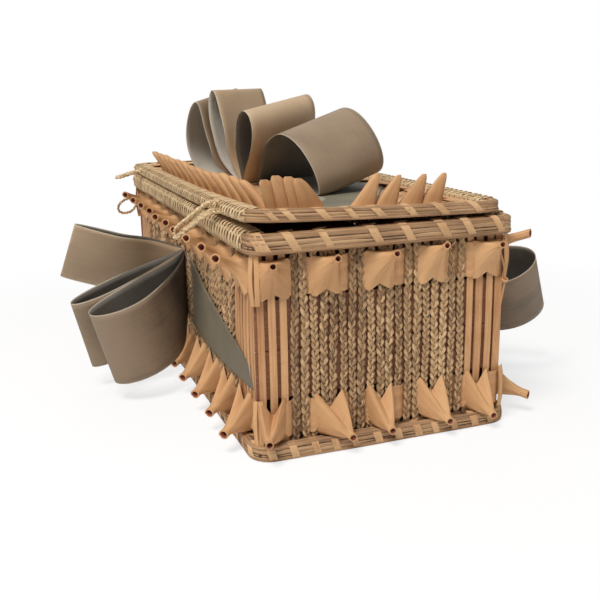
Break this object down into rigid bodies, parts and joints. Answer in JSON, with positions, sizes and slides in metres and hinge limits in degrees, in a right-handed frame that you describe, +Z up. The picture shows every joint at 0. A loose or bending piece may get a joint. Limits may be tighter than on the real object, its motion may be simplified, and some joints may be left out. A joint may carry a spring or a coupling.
{
  "type": "ash splint basket",
  "caption": "Oblong ash splint basket with curled points, sweetgrass uprights, a lid on braid hinges and ribbon bows.",
  "frame": {"origin": "on the table, under the middle of the basket's four walls", "axes": "+X across the short ends, away from the lid's hinges; +Y along the long sides, from the near end to the far end; +Z up"},
  "size_m": [0.3009, 0.3572, 0.1861],
  "materials": {
    "ash_splint": "aged smooth splint",
    "sweetgrass_braid": "dry braided grass",
    "lashing_splint": "aged smooth splint",
    "ribbon": "faded satin"
  },
  "bodies": {
    "basket": {"base_mat": "ash_splint", "base_hoop": "sweetgrass_braid", "near_wall": "sweetgrass_braid", "right_wall": "sweetgrass_braid", "far_wall": "sweetgrass_braid", "left_wall": "sweetgrass_braid", "bottom_band": "ash_splint", "top_band": "ash_splint", "body_rim": "sweetgrass_braid", "body_rim_inner": "ash_splint", "body_rim_lashing": "lashing_splint", "hinge_ring_far": "sweetgrass_braid", "hinge_loop_near": "sweetgrass_braid", "left_bow_loop_near": "ribbon", "left_bow_loop_middle": "ribbon", "left_bow_loop_upper": "ribbon", "left_bow_tail": "ribbon", "right_bow_loop_near": "ribbon", "right_bow_loop_far": "ribbon", "right_bow_tail": "ribbon"},
    "lid": {"lid_mat": "ash_splint", "lid_rim": "sweetgrass_braid", "lid_top_hoop": "sweetgrass_braid", "lid_rim_lashing": "lashing_splint", "lid_points_near": "ash_splint", "lid_points_right": "ash_splint", "lid_points_far": "ash_splint", "lid_points_left": "ash_splint", "hinge_loop_far": "sweetgrass_braid", "top_bow_loop_1": "ribbon", "top_bow_loop_2": "ribbon", "top_bow_loop_3": "ribbon", "top_bow_loop_4": "ribbon", "top_bow_tail_near": "ribbon", "top_bow_tail_far": "ribbon"}
  },
  "joints": [
    {"name": "lid_hinge", "type": "hinge", "parent": "basket", "child": "lid", "pos_m": [-0.076, 0, 0.1192], "axis": [0, -1, 0], "range_deg": [0, 100], "deforming": ["hinge_loop_near"]}
  ]
}
